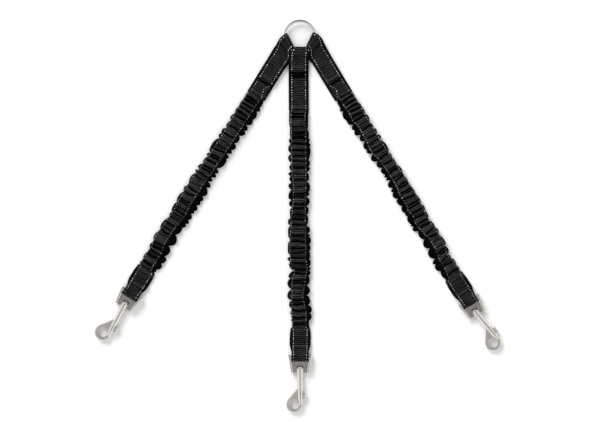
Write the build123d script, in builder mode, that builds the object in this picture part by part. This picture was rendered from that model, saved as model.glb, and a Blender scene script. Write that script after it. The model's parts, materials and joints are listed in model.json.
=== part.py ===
"""Three-leg shock absorbing lanyard, lying flat.

A welded steel ring carries three elastic webbing legs. Each leg is a gathered nylon sleeve over an
elastic band, sewn round the ring at one end and round the cross bar of a swivel bolt snap at the other.

Row frame, in millimetres: the origin is the centre of the ring, +Z is up and the middle leg runs
along -Y. The lanyard lies on the plane z = FLOOR. Each leg has its own local frame, in which the leg
runs along -Y from the ring and x goes across it; s is the distance down the leg, so y = -s.
"""

import math
import os
from typing import NamedTuple

from build123d import *

# Ring
RING_RADIUS = 19.5  # to the middle of the wire
WIRE_RADIUS = 2.0

# Webbing
STRAP_WIDTH = 25.0
LAYER = 2.4  # two plies of woven nylon, as they go round the ring and the cross bar
STRAP_THICKNESS = 4.0  # the same two plies with the elastic band between them
SLEEVE_WIDTH = 28.0  # over the gathers
SLEEVE_HEIGHT = 10.0
SLEEVE_MARGIN = 4.0  # the sewn margin outside the elastic
SLEEVE_WALL = 1.0
BAND_WIDTH = 17.0
BAND_THICKNESS = 1.6
POCKET_DEPTH = 12.0  # how far the band runs into the flat strap at each end
BAND_CLEARANCE = 0.2
GATHER_START = 88.0  # from the ring's centre
LOWER_STRAP = 40.0  # flat strap between the gathers and the fold round the cross bar
LOWER_TAIL = 25.0  # sewn-back tail at the cross bar
LOWER_WIDTH = 27.0
FOLD_WIDTH = 21.2  # the strap squeezed between the yoke's arms
FOLD_SQUEEZE = 12.0  # length of the squeezed stretch
TACK_LENGTH = 2.4
TACK_PROUD = 0.5
TACK_SETBACK = 6.0  # from the end of a tail
WIRE_COVER = 11.8  # half the chord of wire that a side leg covers
SIDE_FOLD_HALF = 10.3  # half width of a side leg's fold on the ring
MIDDLE_FOLD_HALF = 6.9
STRAP_GAP = 0.5  # between neighbouring legs where they crowd on the ring
MIDDLE_SHOULDER = 28.0  # where the middle leg reaches its full width
OUTER_SHOULDER = 7.0
INNER_SHOULDER = 24.0
RAMP = 7.0  # where a tail comes down onto the strap
BAR_RUN = 2.0  # level run of the tail over the cross bar

# Swivel bolt snap
BAR_RADIUS = 1.7
ARM_THICKNESS = 3.0
ARM_HEIGHT = 8.0
ARM_ROUND = 1.2
ARM_BEYOND_BAR = 3.6
YOKE_TOP_WIDTH = 30.2
YOKE_BOTTOM_WIDTH = 23.2
PLATE_THICKNESS = 2.6
PLATE_GAP = 0.6  # between the strap's fold and the plate
PLATE_END = 13.9
BOSS_RADIUS = 4.5
BOSS_START = 8.9
BOSS_LENGTH = 6.4
WINDOW_WIDTH = 8.4
WINDOW_LENGTH = 4.0
RIVET_RADIUS = 1.95
RIVET_HEAD_RADIUS = 3.1
RIVET_HEAD = 1.5
RIVET_GRIP = 4.3  # length held in the barrel
RUNNING = 0.08  # radial clearance of a shaft in its bore
END_PLAY = 0.15
SWIVEL_PLAY = 0.65  # radial play of the rivet in the boss, which lets the hook lean
SWIVEL_GAP = 0.75  # end play of the rivet in the boss, at each end
BARREL_RADIUS = 3.5
BARREL_LENGTH = 33.0
COLLAR_RADIUS = 4.0
COLLAR_LENGTH = 2.0
BORE_RADIUS = 2.35
HOOK_THICKNESS = 4.5
HOOK_ROUND = 1.5
HOOK_RADIUS = 10.4
EYE_RADIUS = 5.7
EYE_ROUND = 0.7
EYE_ASIDE = 8.0  # eye centre to barrel axis
EYE_BELOW_BARREL = 4.8  # eye centre beyond the barrel's end
HOOK_SINK = 0.2  # how far the hook's outer round is centred beyond the eye
WEB_LENGTH = 13.0  # how far up the barrel the hook's web starts
WEB_RADIUS = 2.6
GATE_GAP = 6.0
GATE_TRAVEL = 7.0
KNOB_LENGTH = 8.4
KNOB_HEIGHT = 3.0
KNOB_WIDTH = 4.6
KNOB_ROUND = 1.0
KNOB_BACK = 1.3  # from the barrel's end
NECK_RADIUS = 1.2
SLOT_CLEARANCE = 0.2
BOLT_IN_BARREL = 12.5
SPRING_WIRE = 0.3
SPRING_TURNS = 9

# Clearances between moving pieces
LOOP_CLEARANCE = 0.3
FLEX_GAP = 0.6  # between the sewn loop and the strap that flexes at its end


class Leg(NamedTuple):
    name: str
    side: int  # -1 left, 0 middle, 1 right
    angle: float  # the leg's direction, in degrees from -Y
    overhang: float  # of the leg's outer edge beyond the middle of the ring's wire
    fold_angle: float  # where its fold lies round the ring, in degrees from -Y
    tail: float  # where the sewn-back tail ends
    end: float  # outside of the fold round the cross bar
    lean: float  # of the hook in its loose swivel, in degrees about +Z


LEGS = (
    Leg("left", -1, -32.0, 1.5, -68.0, 71.0, 389.0, 4.4),
    Leg("middle", 0, 0.0, 0.0, 0.0, 44.0, 405.0, 1.0),
    Leg("right", 1, 31.0, 4.0, 68.0, 71.0, 397.0, 9.0),
)

# Heights that follow from the stack on the ring and on the cross bar
RING_BORE = WIRE_RADIUS + LOOP_CLEARANCE
FLOOR = -(RING_BORE + LAYER)
BAR_BORE = BAR_RADIUS + LOOP_CLEARANCE
BAR_HEIGHT = FLOOR + LAYER + BAR_BORE
BAR_SETBACK = BAR_BORE + LAYER  # cross bar to the outside of its fold
BAND_BOTTOM = FLOOR + (STRAP_THICKNESS - BAND_THICKNESS) / 2
WIRE_SETBACK = math.sqrt(RING_RADIUS**2 - WIRE_COVER**2)  # ring's centre to the centre of a fold's bore
FOLD_REACH = WIRE_SETBACK - RING_BORE - LAYER
RING_RUN = RING_RADIUS - WIRE_SETBACK + RING_BORE  # level run of the tail over the wire

# Places down the snap, from the outside of the strap's fold
BARREL_START = BOSS_START + BOSS_LENGTH + SWIVEL_GAP
LEAN_CENTRE = BOSS_START + BOSS_LENGTH / 2
BARREL_END = BARREL_START + BARREL_LENGTH
BORE_START = BARREL_START + RIVET_GRIP
TIP = BARREL_END + GATE_GAP
EYE = BARREL_END + EYE_BELOW_BARREL
BOLT_START = BARREL_END - BOLT_IN_BARREL
BOLT_END = TIP - END_PLAY
KNOB_MIDDLE = BARREL_END - KNOB_BACK - KNOB_LENGTH / 2

# The snap is turned on its swivel until the hook's rim rests on the floor.
HOOK_REACH = EYE_ASIDE + HOOK_RADIUS
HOOK_HALF = HOOK_THICKNESS / 2
ROLL = math.degrees(
    math.asin((BAR_HEIGHT - FLOOR) / math.hypot(HOOK_REACH, HOOK_HALF)) - math.atan2(HOOK_HALF, HOOK_REACH)
)

BARREL_AXIS = Plane(origin=(0, 0, 0), x_dir=(1, 0, 0), z_dir=(0, -1, 0))


def leg_offset(leg):
    """How far the leg's centreline passes from the ring's centre."""
    return leg.side * (RING_RADIUS + leg.overhang - STRAP_WIDTH / 2)


def leg_place(leg):
    """From a leg's local frame to the row frame."""
    return Location((0, 0, 0), (0, 0, leg.angle)) * Location((leg_offset(leg), 0, 0))


def snap_place(leg):
    """From the snap's frame, on the barrel's axis beside the end of the strap, to the row frame."""
    return leg_place(leg) * Location((0, -leg.end, BAR_HEIGHT))


def hook_place(leg):
    """The snap's frame leant in the boss, and turned about the barrel until the hook's rim rests on the floor."""
    lean = Location((0, -LEAN_CENTRE, 0), (0, 0, leg.lean)) * Location((0, LEAN_CENTRE, 0))
    return snap_place(leg) * lean * Location((0, 0, 0), (0, -ROLL, 0))


def write(piece, name):
    piece.label = name
    export_step(piece, f"parts/{name}.step")


def fold_sketch(plane, bore, run, ramp, reach):
    """Side profile of webbing folded round a bore at the plane's origin and laid back on itself."""
    outside = bore + LAYER
    stack = LAYER - bore
    with BuildSketch(plane) as profile:
        with BuildLine():
            Polyline((0, -outside), (reach, -outside), (reach, stack), (run + ramp, stack))
            Polyline((run + ramp, stack), (run, outside), (0, outside))
            ThreePointArc((0, outside), (-outside, 0), (0, -outside))
        make_face()
        with BuildLine():
            Polyline((0, -bore), (run + ramp, -bore), (run, bore), (0, bore))
            ThreePointArc((0, bore), (-bore, 0), (0, -bore))
        make_face(mode=Mode.SUBTRACT)
    return profile.sketch


def loop_outline(leg):
    """Plan of the strap's ring end, in the leg's frame, from its fold to the end of its tail."""
    turn = math.radians(leg.fold_angle - leg.angle)
    out = Vector(math.sin(turn), -math.cos(turn))
    along = Vector(math.cos(turn), math.sin(turn))
    half = SIDE_FOLD_HALF if leg.side else MIDDLE_FOLD_HALF
    fold = Vector(-leg_offset(leg), 0) + out * FOLD_REACH
    left_shoulder, right_shoulder = {
        -1: (OUTER_SHOULDER, INNER_SHOULDER),
        0: (MIDDLE_SHOULDER, MIDDLE_SHOULDER),
        1: (INNER_SHOULDER, OUTER_SHOULDER),
    }[leg.side]
    edge = STRAP_WIDTH / 2
    return [
        fold - along * half,
        fold + along * half,
        (edge, -right_shoulder),
        (edge, -leg.tail),
        (-edge, -leg.tail),
        (-edge, -left_shoulder),
    ]


def upper_loop(leg):
    """Webbing sewn round the ring: the fold, its tail, and a slot that the bar tack fills."""
    turn = math.radians(leg.fold_angle - leg.angle)
    out = Vector(math.sin(turn), -math.cos(turn))
    outside = RING_BORE + LAYER
    bore_centre = Vector(-leg_offset(leg), 0) + out * WIRE_SETBACK
    side_plane = Plane(origin=bore_centre, x_dir=out, z_dir=out.cross(Vector(0, 0, 1)))
    with BuildPart() as loop:
        profile = fold_sketch(side_plane.offset(-leg.tail), RING_BORE, RING_RUN, RAMP, leg.tail + RING_RADIUS)
        extrude(profile, amount=2 * leg.tail)
        with BuildSketch(Plane.XY.offset(FLOOR)):
            with BuildLine():
                Polyline(*loop_outline(leg), close=True)
            make_face()
        extrude(amount=2 * outside, mode=Mode.INTERSECT)
        add(upper_tack(leg), mode=Mode.SUBTRACT)
    return loop.part


def upper_tack(leg):
    """Bar tack through both layers near the end of the tail."""
    stack_top = FLOOR + 2 * LAYER
    with BuildPart() as tack:
        with BuildSketch(Plane.XY.offset(FLOOR)):
            with Locations((0, -leg.tail + TACK_SETBACK)):
                Rectangle(BAND_WIDTH, TACK_LENGTH)
        extrude(amount=stack_top + TACK_PROUD - FLOOR)
    return tack.part


def middle_room():
    """Space that the middle leg needs beside its neighbours, in the row frame."""
    middle = LEGS[1]
    with BuildPart() as room:
        with BuildSketch(Plane.XY.offset(FLOOR)):
            with BuildLine():
                Polyline(*loop_outline(middle), close=True)
            make_face()
            with Locations((0, -middle.tail)):
                Rectangle(STRAP_WIDTH, GATHER_START - middle.tail, align=(Align.CENTER, Align.MAX))
            offset(amount=STRAP_GAP, kind=Kind.INTERSECTION)
        extrude(amount=2 * (RING_BORE + LAYER))
    return room.part


def wire_room():
    """Space that the ring's wire needs inside the loops."""
    with BuildPart() as room:
        with BuildSketch(Plane.XZ):
            with Locations((RING_RADIUS, 0)):
                Circle(RING_BORE)
        revolve(axis=Axis.Z)
    return room.part


def flex_line(leg):
    """Distance down the leg of the line where the single strap bends beside the stiff sewn loop."""
    return leg.tail + FLEX_GAP + STRAP_THICKNESS / 2


def upper_strap(leg):
    """Flat strap from the end of the tail to the gathers, with a pocket for the elastic band."""
    start = flex_line(leg)
    length = GATHER_START - start
    with BuildPart() as strap:
        with BuildSketch(Plane.YZ):
            with Locations((-start, FLOOR + STRAP_THICKNESS / 2)):
                Circle(STRAP_THICKNESS / 2)
                Rectangle(length, STRAP_THICKNESS, align=(Align.MAX, Align.CENTER))
        extrude(amount=STRAP_WIDTH / 2, both=True)
        add(pocket(-GATHER_START, 1), mode=Mode.SUBTRACT)
    return strap.part


def pocket(mouth, towards):
    """Room for the end of the elastic band, from a strap's end face at y = mouth, going along Y."""
    with BuildPart() as room:
        with BuildSketch(Plane.XY.offset(BAND_BOTTOM - BAND_CLEARANCE)):
            with Locations((0, mouth + towards * POCKET_DEPTH / 2)):
                Rectangle(BAND_WIDTH + 2 * BAND_CLEARANCE, POCKET_DEPTH)
        extrude(amount=BAND_THICKNESS + 2 * BAND_CLEARANCE)
    return room.part


def gathered_web(leg, side):
    """One of two gathered webs sewn together at their edges; side is 1 for the front, -1 for the back."""
    length = leg.end - LOWER_STRAP - LOOP_CLEARANCE - GATHER_START
    face = Plane(origin=(0, -GATHER_START, FLOOR + SLEEVE_HEIGHT / 2), x_dir=(1, 0, 0), z_dir=(0, -1, 0))
    cavity_width = SLEEVE_WIDTH - 2 * SLEEVE_MARGIN
    with BuildPart() as web:
        with BuildSketch(face):
            RectangleRounded(SLEEVE_WIDTH, SLEEVE_HEIGHT, SLEEVE_MARGIN)
            Rectangle(cavity_width, SLEEVE_HEIGHT - 2 * SLEEVE_WALL, mode=Mode.SUBTRACT)
            with Locations((0, side * SLEEVE_HEIGHT / 2)):
                Rectangle(SLEEVE_WIDTH, SLEEVE_HEIGHT, mode=Mode.SUBTRACT)
        extrude(amount=length)
    return web.part


def elastic_band(leg):
    start = GATHER_START - POCKET_DEPTH + BAND_CLEARANCE
    end = leg.end - LOWER_STRAP + POCKET_DEPTH - BAND_CLEARANCE
    with BuildPart() as band:
        with BuildSketch(Plane.XY.offset(BAND_BOTTOM)):
            with Locations((0, -(start + end) / 2)):
                Rectangle(BAND_WIDTH, end - start)
        extrude(amount=BAND_THICKNESS)
    return band.part


def lower_strap(leg):
    """Flat strap below the gathers, folded round the cross bar and tacked back on itself."""
    start = leg.end - LOWER_STRAP
    bar_end = (-LOWER_WIDTH / 2, BAR_SETBACK - leg.end, BAR_HEIGHT)
    bar = Plane(origin=bar_end, x_dir=(0, 1, 0), z_dir=(1, 0, 0))
    squeezed = FOLD_WIDTH / 2
    full = LOWER_WIDTH / 2
    with BuildPart() as strap:
        extrude(fold_sketch(bar, BAR_BORE, BAR_RUN, RAMP, LOWER_TAIL - BAR_SETBACK), amount=LOWER_WIDTH)
        with BuildSketch(Plane.XY.offset(FLOOR)):
            with Locations((0, -start - (LOWER_STRAP - LOWER_TAIL) / 2)):
                Rectangle(LOWER_WIDTH, LOWER_STRAP - LOWER_TAIL)
        extrude(amount=STRAP_THICKNESS)
        with BuildSketch(Plane.XY.offset(FLOOR)):
            with BuildLine():
                Polyline(
                    (squeezed, -leg.end),
                    (squeezed, FOLD_SQUEEZE - leg.end),
                    (full, LOWER_TAIL - leg.end),
                    (full, -start),
                    (-full, -start),
                    (-full, LOWER_TAIL - leg.end),
                    (-squeezed, FOLD_SQUEEZE - leg.end),
                    (-squeezed, -leg.end),
                    close=True,
                )
            make_face()
        extrude(amount=2 * BAR_SETBACK, mode=Mode.INTERSECT)
        add(pocket(-start, -1), mode=Mode.SUBTRACT)
        add(lower_tack(leg), mode=Mode.SUBTRACT)
    return strap.part


def lower_tack(leg):
    with BuildPart() as tack:
        with BuildSketch(Plane.XY.offset(FLOOR)):
            with Locations((0, LOWER_TAIL - TACK_SETBACK - leg.end)):
                Rectangle(BAND_WIDTH, TACK_LENGTH)
        extrude(amount=2 * LAYER + TACK_PROUD)
    return tack.part


def yoke():
    """Cast yoke: two flared arms, the cross bar, and a plate with the swivel's boss."""
    bar_y = BAR_SETBACK
    top = bar_y + ARM_BEYOND_BAR
    half_top = YOKE_TOP_WIDTH / 2
    half_bottom = YOKE_BOTTOM_WIDTH / 2
    flare = (half_top - half_bottom) / (top + PLATE_END)
    at_plate = half_bottom + flare * (PLATE_END - PLATE_GAP)
    at_bar = half_bottom + flare * (PLATE_END + bar_y)
    with BuildPart() as casting:
        with BuildSketch():
            for side in (-1, 1):
                with BuildLine():
                    Polyline(
                        (side * half_top, top),
                        (side * half_bottom, -PLATE_END),
                        (side * (half_bottom - ARM_THICKNESS), -PLATE_END),
                        (side * (half_top - ARM_THICKNESS), top),
                        close=True,
                    )
                make_face()
        extrude(amount=ARM_HEIGHT / 2, both=True)
        rails = casting.edges().filter_by(lambda edge: edge.length > top and abs(edge.center().Z) > ARM_ROUND)
        fillet(rails, ARM_ROUND)
        with BuildSketch():
            with BuildLine():
                Polyline(
                    (-at_plate + ARM_THICKNESS / 2, -PLATE_GAP),
                    (at_plate - ARM_THICKNESS / 2, -PLATE_GAP),
                    (half_bottom - ARM_THICKNESS / 2, -PLATE_END),
                    (-half_bottom + ARM_THICKNESS / 2, -PLATE_END),
                    close=True,
                )
            make_face()
        extrude(amount=PLATE_THICKNESS / 2, both=True)
        with BuildSketch(Plane.YZ):
            with Locations((bar_y, 0)):
                Circle(BAR_RADIUS)
        extrude(amount=at_bar - ARM_THICKNESS / 2, both=True)
        with BuildSketch(BARREL_AXIS.offset(BOSS_START)):
            Circle(BOSS_RADIUS)
        extrude(amount=BOSS_LENGTH)
        fillet(casting.faces().sort_by(Axis.Y)[0].edges().filter_by(GeomType.CIRCLE), 0.6)
        with BuildSketch():
            with Locations((0, -BOSS_START + WINDOW_LENGTH / 2)):
                Rectangle(WINDOW_WIDTH, WINDOW_LENGTH)
        extrude(amount=PLATE_THICKNESS, both=True, mode=Mode.SUBTRACT)
        with BuildSketch(BARREL_AXIS.offset(BOSS_START)):
            Circle(RIVET_RADIUS + SWIVEL_PLAY)
        extrude(amount=BOSS_LENGTH, mode=Mode.SUBTRACT)
    return casting.part


def swivel_rivet():
    """Headed rivet through the boss, pressed into the barrel."""
    head_end = BOSS_START - SWIVEL_GAP
    with BuildPart() as rivet:
        with BuildSketch(BARREL_AXIS.offset(head_end - RIVET_HEAD)):
            Circle(RIVET_HEAD_RADIUS)
        extrude(amount=RIVET_HEAD)
        fillet(rivet.edges().group_by(Axis.Y)[-1], RIVET_HEAD * 0.6)
        with BuildSketch(BARREL_AXIS.offset(head_end)):
            Circle(RIVET_RADIUS)
        extrude(amount=BORE_START - head_end)
    return rivet.part


def hook_body():
    """Cast hook: a barrel bored for the bolt, and a flat hook with a round eye beside it."""
    with BuildPart() as hook:
        with BuildSketch():
            with Locations((-EYE_ASIDE, -EYE - HOOK_SINK)):
                Circle(HOOK_RADIUS)
            with Locations((-WEB_RADIUS - END_PLAY, -BARREL_END + WEB_LENGTH)):
                Circle(WEB_RADIUS)
            make_hull()
            with Locations((-EYE_ASIDE, -EYE)):
                Circle(EYE_RADIUS, mode=Mode.SUBTRACT)
            with Locations((-BARREL_RADIUS - END_PLAY, -BARREL_END)):
                Rectangle(4 * BARREL_RADIUS, GATE_GAP, align=(Align.MIN, Align.MAX), mode=Mode.SUBTRACT)
        extrude(amount=HOOK_HALF, both=True)
        fillet(hook.edges().filter_by(is_eye_rim), EYE_ROUND)
        fillet(hook.edges().filter_by(is_outer_rim), HOOK_ROUND)
        with BuildSketch(BARREL_AXIS.offset(BARREL_START)):
            Circle(BARREL_RADIUS)
        extrude(amount=BARREL_LENGTH)
        with BuildSketch(BARREL_AXIS.offset(BARREL_START)):
            Circle(COLLAR_RADIUS)
        extrude(amount=COLLAR_LENGTH)
        with BuildSketch(BARREL_AXIS.offset(BORE_START)):
            Circle(BORE_RADIUS)
        extrude(amount=BARREL_END - BORE_START, mode=Mode.SUBTRACT)
        with BuildSketch(BARREL_AXIS.offset(BARREL_START)):
            Circle(RIVET_RADIUS)
        extrude(amount=RIVET_GRIP, mode=Mode.SUBTRACT)
        slot_start = KNOB_MIDDLE - GATE_TRAVEL - NECK_RADIUS - SLOT_CLEARANCE
        slot_end = KNOB_MIDDLE + NECK_RADIUS + SLOT_CLEARANCE
        with BuildSketch(Plane.YZ):
            with Locations((-(slot_start + slot_end) / 2, 0)):
                SlotOverall(slot_end - slot_start, 2 * (NECK_RADIUS + SLOT_CLEARANCE))
        extrude(amount=2 * BARREL_RADIUS, mode=Mode.SUBTRACT)
    return hook.part


def is_eye_rim(edge):
    flat = edge.geom_type == GeomType.CIRCLE and abs(edge.center().Z) > HOOK_HALF - 0.01
    return flat and abs(edge.radius - EYE_RADIUS) < 0.01


def is_outer_rim(edge):
    flat = edge.geom_type == GeomType.CIRCLE and abs(edge.center().Z) > HOOK_HALF - 0.01
    return flat and abs(edge.radius - HOOK_RADIUS) < 0.01


def bolt():
    """Sliding gate bolt, with a cross hole for the thumb knob's neck."""
    with BuildPart() as rod:
        with BuildSketch(BARREL_AXIS.offset(BOLT_START)):
            Circle(BORE_RADIUS - RUNNING)
        extrude(amount=BOLT_END - BOLT_START)
        fillet(rod.edges().group_by(Axis.Y)[0], 0.8)
        with BuildSketch(Plane.YZ):
            with Locations((-KNOB_MIDDLE, 0)):
                Circle(NECK_RADIUS)
        extrude(amount=BORE_RADIUS, mode=Mode.SUBTRACT)
    return rod.part


def thumb_knob():
    """Thumb pad outside the barrel, on a neck that goes through the slot into the bolt."""
    inner = BARREL_RADIUS + SLOT_CLEARANCE
    with BuildPart() as knob:
        with BuildSketch(Plane.YZ.offset(inner)):
            with Locations((-KNOB_MIDDLE, 0)):
                Rectangle(KNOB_LENGTH, KNOB_WIDTH)
        extrude(amount=KNOB_HEIGHT)
        fillet(knob.edges(), KNOB_ROUND)
        with BuildSketch(Plane.YZ):
            with Locations((-KNOB_MIDDLE, 0)):
                Circle(NECK_RADIUS)
        extrude(amount=inner + KNOB_HEIGHT / 2)
    return knob.part


def gate_spring():
    """Compression spring between the rivet's end and the bolt."""
    coil_radius = BORE_RADIUS - RUNNING - 2 * SPRING_WIRE
    low = BORE_START + 2 * SPRING_WIRE
    height = BOLT_START - 2 * SPRING_WIRE - low
    with BuildPart() as spring:
        with BuildLine(BARREL_AXIS.offset(low)) as coil:
            Helix(height / SPRING_TURNS, height, coil_radius, direction=BARREL_AXIS.z_dir)
        with BuildSketch(coil.line ^ 0):
            Circle(SPRING_WIRE)
        sweep(is_frenet=True)
    return spring.part


def ring():
    with BuildPart() as wire:
        with BuildSketch(Plane.XZ):
            with Locations((RING_RADIUS, 0)):
                Circle(WIRE_RADIUS)
        revolve(axis=Axis.Z)
    return wire.part


os.makedirs("parts", exist_ok=True)
write(ring(), "welded_ring")
beside_middle = middle_room()
round_wire = wire_room()
for leg in LEGS:
    place = leg_place(leg)
    sewn_loop = upper_loop(leg).moved(place) - round_wire
    if leg.side:
        sewn_loop = sewn_loop - beside_middle
    write(sewn_loop, f"{leg.name}_upper_loop")
    write(upper_tack(leg).moved(place), f"{leg.name}_upper_bar_tack")
    write(upper_strap(leg).moved(place), f"{leg.name}_upper_strap")
    write(gathered_web(leg, 1).moved(place), f"{leg.name}_front_web")
    write(gathered_web(leg, -1).moved(place), f"{leg.name}_back_web")
    write(elastic_band(leg).moved(place), f"{leg.name}_elastic_band")
    write(lower_strap(leg).moved(place), f"{leg.name}_lower_strap")
    write(lower_tack(leg).moved(place), f"{leg.name}_lower_bar_tack")
    write(yoke().moved(snap_place(leg)), f"{leg.name}_swivel_yoke")
    for name, make in (
        ("swivel_rivet", swivel_rivet),
        ("hook_body", hook_body),
        ("gate_bolt", bolt),
        ("thumb_knob", thumb_knob),
        ("gate_spring", gate_spring),
    ):
        write(make().moved(hook_place(leg)), f"{leg.name}_{name}")
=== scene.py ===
"""Three-leg elastic lanyard: a welded ring, three legs of webbing gathered over elastic, three bolt snaps."""

import json
import math
import random

import bmesh
import bpy
import numpy as np
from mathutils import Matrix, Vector


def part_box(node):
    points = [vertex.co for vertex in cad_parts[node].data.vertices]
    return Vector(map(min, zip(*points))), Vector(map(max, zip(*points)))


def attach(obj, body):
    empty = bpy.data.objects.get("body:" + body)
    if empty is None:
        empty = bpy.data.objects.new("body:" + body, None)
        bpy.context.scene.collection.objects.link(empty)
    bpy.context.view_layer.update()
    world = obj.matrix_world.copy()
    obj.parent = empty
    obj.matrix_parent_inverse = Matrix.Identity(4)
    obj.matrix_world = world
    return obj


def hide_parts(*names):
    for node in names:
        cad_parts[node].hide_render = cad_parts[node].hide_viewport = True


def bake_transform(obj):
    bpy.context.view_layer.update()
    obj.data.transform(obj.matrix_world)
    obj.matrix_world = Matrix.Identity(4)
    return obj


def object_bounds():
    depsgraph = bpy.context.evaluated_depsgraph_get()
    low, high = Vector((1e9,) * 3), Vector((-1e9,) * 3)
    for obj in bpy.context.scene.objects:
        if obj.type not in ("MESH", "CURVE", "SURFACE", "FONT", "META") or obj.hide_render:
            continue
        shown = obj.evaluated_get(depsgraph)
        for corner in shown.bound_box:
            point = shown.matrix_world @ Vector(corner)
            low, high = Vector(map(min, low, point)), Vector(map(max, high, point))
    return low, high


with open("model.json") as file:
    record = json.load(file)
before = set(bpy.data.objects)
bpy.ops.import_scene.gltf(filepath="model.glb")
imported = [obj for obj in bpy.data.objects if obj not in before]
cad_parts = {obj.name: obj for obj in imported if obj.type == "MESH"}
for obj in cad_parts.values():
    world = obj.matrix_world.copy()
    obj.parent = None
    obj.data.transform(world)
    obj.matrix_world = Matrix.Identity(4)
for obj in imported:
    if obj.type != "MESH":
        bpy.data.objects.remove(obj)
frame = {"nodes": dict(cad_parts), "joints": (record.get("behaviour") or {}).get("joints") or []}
cad_box = [list(corner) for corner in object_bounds()]


# ---- Ring ----
# A ring of steel wire, butt welded, ground smooth and nickel plated. The three straps are sewn round it, and
# nothing else is fixed to it.
def colour(code):
    """Linear RGBA from an sRGB hex code."""
    channels = [int(code[i : i + 2], 16) / 255 for i in (1, 3, 5)]
    return [c / 12.92 if c <= 0.04045 else ((c + 0.055) / 1.055) ** 2.4 for c in channels] + [1.0]


def add_node(owner, kind, inputs=None, **settings):
    """Adds a node, sets its properties and then feeds its inputs with values or with other nodes' outputs."""
    made = owner.node_tree.nodes.new(kind)
    for name, value in settings.items():
        setattr(made, name, value)
    for name, value in (inputs or {}).items():
        if isinstance(value, bpy.types.NodeSocket):
            owner.node_tree.links.new(value, made.inputs[name])
        else:
            made.inputs[name].default_value = value
    return made


def new_material(name, inputs):
    """A material whose Principled shader has these inputs; returns both."""
    material = bpy.data.materials.new(name)
    material.use_nodes = True
    shader = material.node_tree.nodes["Principled BSDF"]
    for key, value in inputs.items():
        shader.inputs[key].default_value = value
    return material, shader


def plated(name, base, dull, roughness, grain):
    """Nickel plate over cast or drawn metal: clouds of about 6 mm in its polish, and pits of about 0.6 mm."""
    material, shader = new_material(name, {"Metallic": 1.0})
    place = add_node(material, "ShaderNodeNewGeometry").outputs["Position"]
    clouds = {"Vector": place, "Scale": 180.0, "Detail": 4.0}
    cloudy = add_node(material, "ShaderNodeTexNoise", clouds).outputs[0]
    pits = {"Vector": place, "Scale": 1600.0, "Detail": 2.0}
    pitted = add_node(material, "ShaderNodeTexNoise", pits).outputs[0]
    tones = {0: cloudy, 6: colour(dull), 7: colour(base)}
    tone = add_node(material, "ShaderNodeMix", tones, data_type="RGBA")
    polishes = {0: cloudy, 1: 0.3, 2: 0.7, 3: roughness * 1.25, 4: roughness * 0.8}
    polish = add_node(material, "ShaderNodeMapRange", polishes)
    relief = {"Height": pitted, "Strength": grain, "Distance": 0.00004}
    bump = add_node(material, "ShaderNodeBump", relief)
    links = material.node_tree.links
    links.new(tone.outputs[2], shader.inputs["Base Color"])
    links.new(polish.outputs[0], shader.inputs["Roughness"])
    links.new(bump.outputs[0], shader.inputs["Normal"])
    return material


def finish_node(node, material):
    """Gives a CAD node its finish."""
    piece = frame["nodes"][node]
    piece.data.materials.clear()
    piece.data.materials.append(material)


# Bright nickel plate, barrel polished: an almost clean mirror of the room.
bright_nickel = plated("bright_nickel_plate", base="#f2f0ec", dull="#dcdad6", roughness=0.13, grain=0.1)
finish_node("welded_ring", bright_nickel)


# ---- Straps on the ring ----
# Each leg starts as black nylon webbing that goes round the ring's wire and lies back on itself, its tail
# sewn down. The outer legs sit askew, so their folds slant and straighten as they leave the ring. A light
# reflective thread is lock-stitched along both edges.

# Each leg is a strip that lies on the table and runs out from the ring. Along a leg, places are given in
# millimetres: s down the leg from the ring's centre, x across it and z up from the table.
MM = 0.001
TABLE = cad_box[0][2]
joints = {joint["name"]: joint for joint in frame["joints"]}


class Leg:
    """A leg's own frame, read from its joints, and the slight sideways bow that it lies with."""

    def __init__(self, name, side, bow):
        fold = Vector(joints[f"{name}_leg_fold"]["pos_m"])
        bar = Vector(joints[f"{name}_yoke_pivot"]["pos_m"])
        self.name = name
        self.side = side
        self.down = Vector(joints[f"{name}_leg_stretch"]["axis"])
        self.across = Vector((-self.down.y, self.down.x, 0))
        self.offset = fold.dot(self.across)
        self.fold_s = fold.dot(self.down) / MM
        self.bar_s = bar.dot(self.down) / MM
        self.bar_z = (bar.z - TABLE) / MM
        self.bow_s, self.bow_x = zip(*bow)

    def bow(self, s):
        """Sideways shift at s, through given points, with level tangents at the ends."""
        knots, values = self.bow_s, self.bow_x
        if s <= knots[0] or s >= knots[-1]:
            return values[0] if s <= knots[0] else values[-1]
        i = max(k for k in range(len(knots)) if knots[k] <= s)
        slopes = [0.0] * len(knots)
        for k in range(1, len(knots) - 1):
            slopes[k] = (values[k + 1] - values[k - 1]) / (knots[k + 1] - knots[k - 1])
        length = knots[i + 1] - knots[i]
        t = (s - knots[i]) / length
        start = values[i] * (1 + 2 * t) * (1 - t) ** 2 + slopes[i] * length * t * (1 - t) ** 2
        return start + values[i + 1] * t * t * (3 - 2 * t) - slopes[i + 1] * length * t * t * (1 - t)

    def place(self, s, x, z, bowed=True):
        """The point in the lanyard's frame, in metres."""
        shift = x + (self.bow(s) if bowed else 0)
        point = self.across * (self.offset + shift * MM) + self.down * (s * MM)
        point.z = TABLE + z * MM
        return point


legs = [
    Leg("left", -1, ((16, 0.0), (40, 0.9), (100, 1.0), (340, -0.2), (380, 0.0))),
    Leg("middle", 0, ((12, 1.0), (23, -1.4), (100, -1.4), (350, 0.6), (395, 0.0))),
    Leg("right", 1, ((14, 0.0), (34, -2.2), (100, -2.2), (345, -0.9), (390, 0.0))),
]


def ease(value, start, end):
    """0 before start, 1 after end, and smooth between them."""
    t = min(max((value - start) / (end - start), 0.0), 1.0)
    return t * t * (3 - 2 * t)


def mix(a, b, t):
    return a + (b - a) * t


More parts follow.
